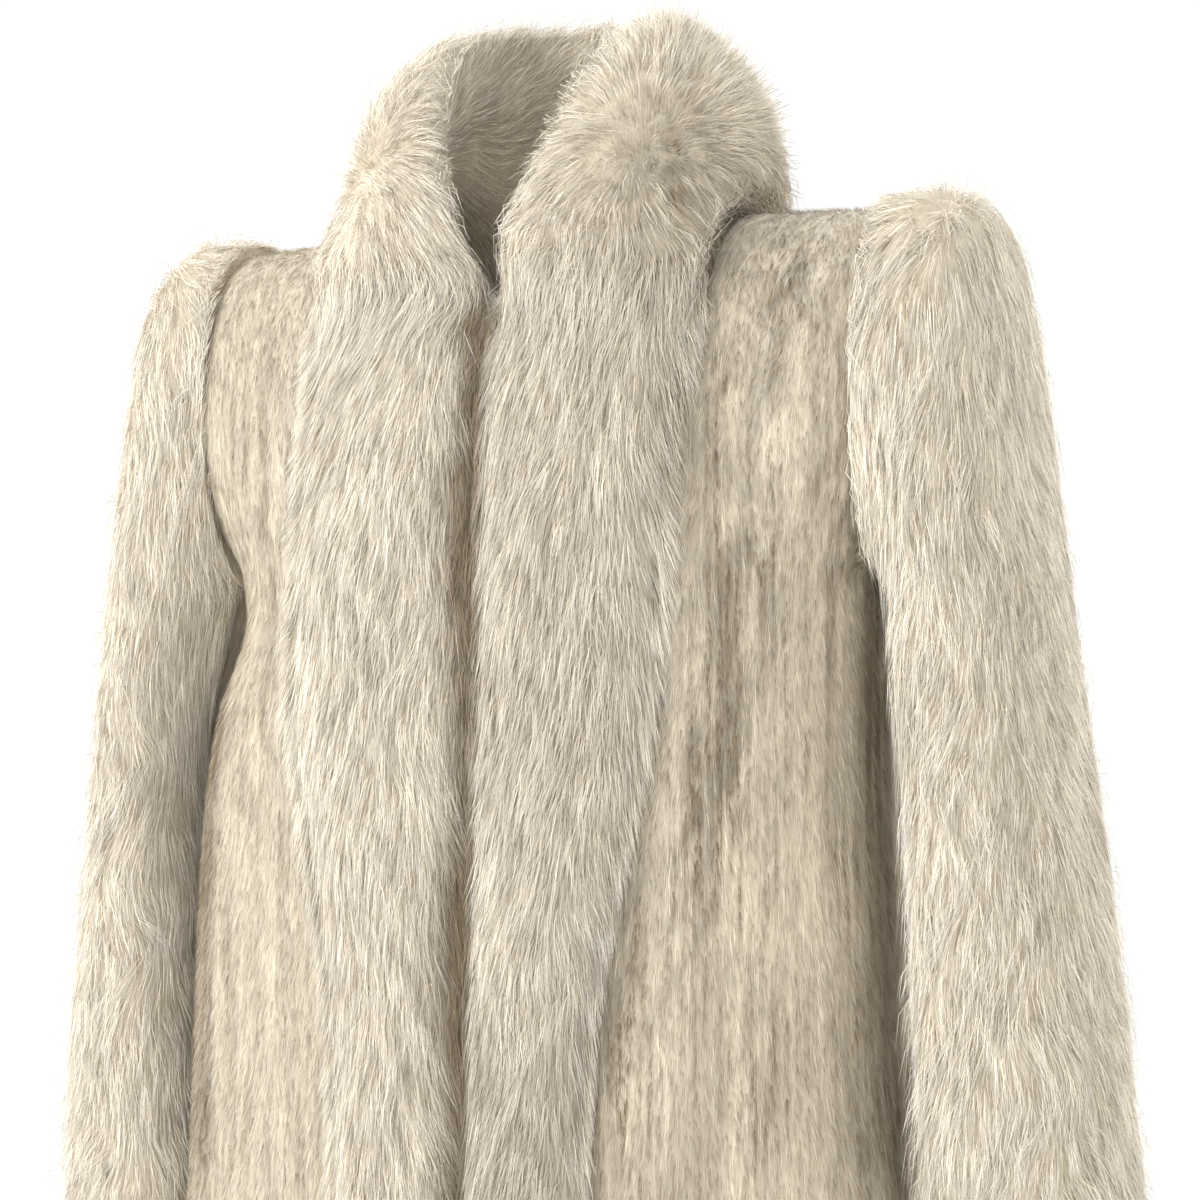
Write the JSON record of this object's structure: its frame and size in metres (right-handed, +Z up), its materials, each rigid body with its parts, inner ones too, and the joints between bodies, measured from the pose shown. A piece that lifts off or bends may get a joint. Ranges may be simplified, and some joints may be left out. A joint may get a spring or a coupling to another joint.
{
  "type": "fur coat",
  "caption": "Long mink fur coat with fox front bands, standing fox shawl collar, fox sleeves and padded shoulders, filled out as worn.",
  "frame": {"origin": "midway between the shoulders at the base of the neck, where the coat hangs from its wearer", "axes": "+Z up, -Y out of the front, +X towards the wearer's left"},
  "size_m": [0.8121, 0.3699, 1.21],
  "materials": {
    "mink": "short dense mink pile in let-out strips, satin sheen",
    "fox": "long pale fox guard hair over dense underfur, soft"
  },
  "bodies": {
    "root": {"back": "mink", "front_left": "mink", "front_right": "mink", "tuxedo_left": "fox", "tuxedo_right": "fox", "collar_left": "fox", "collar_right": "fox", "sleeve_left_fox": "fox", "sleeve_right_fox": "fox", "sleeve_left_mink": "mink", "sleeve_right_mink": "mink"}
  },
  "joints": []
}
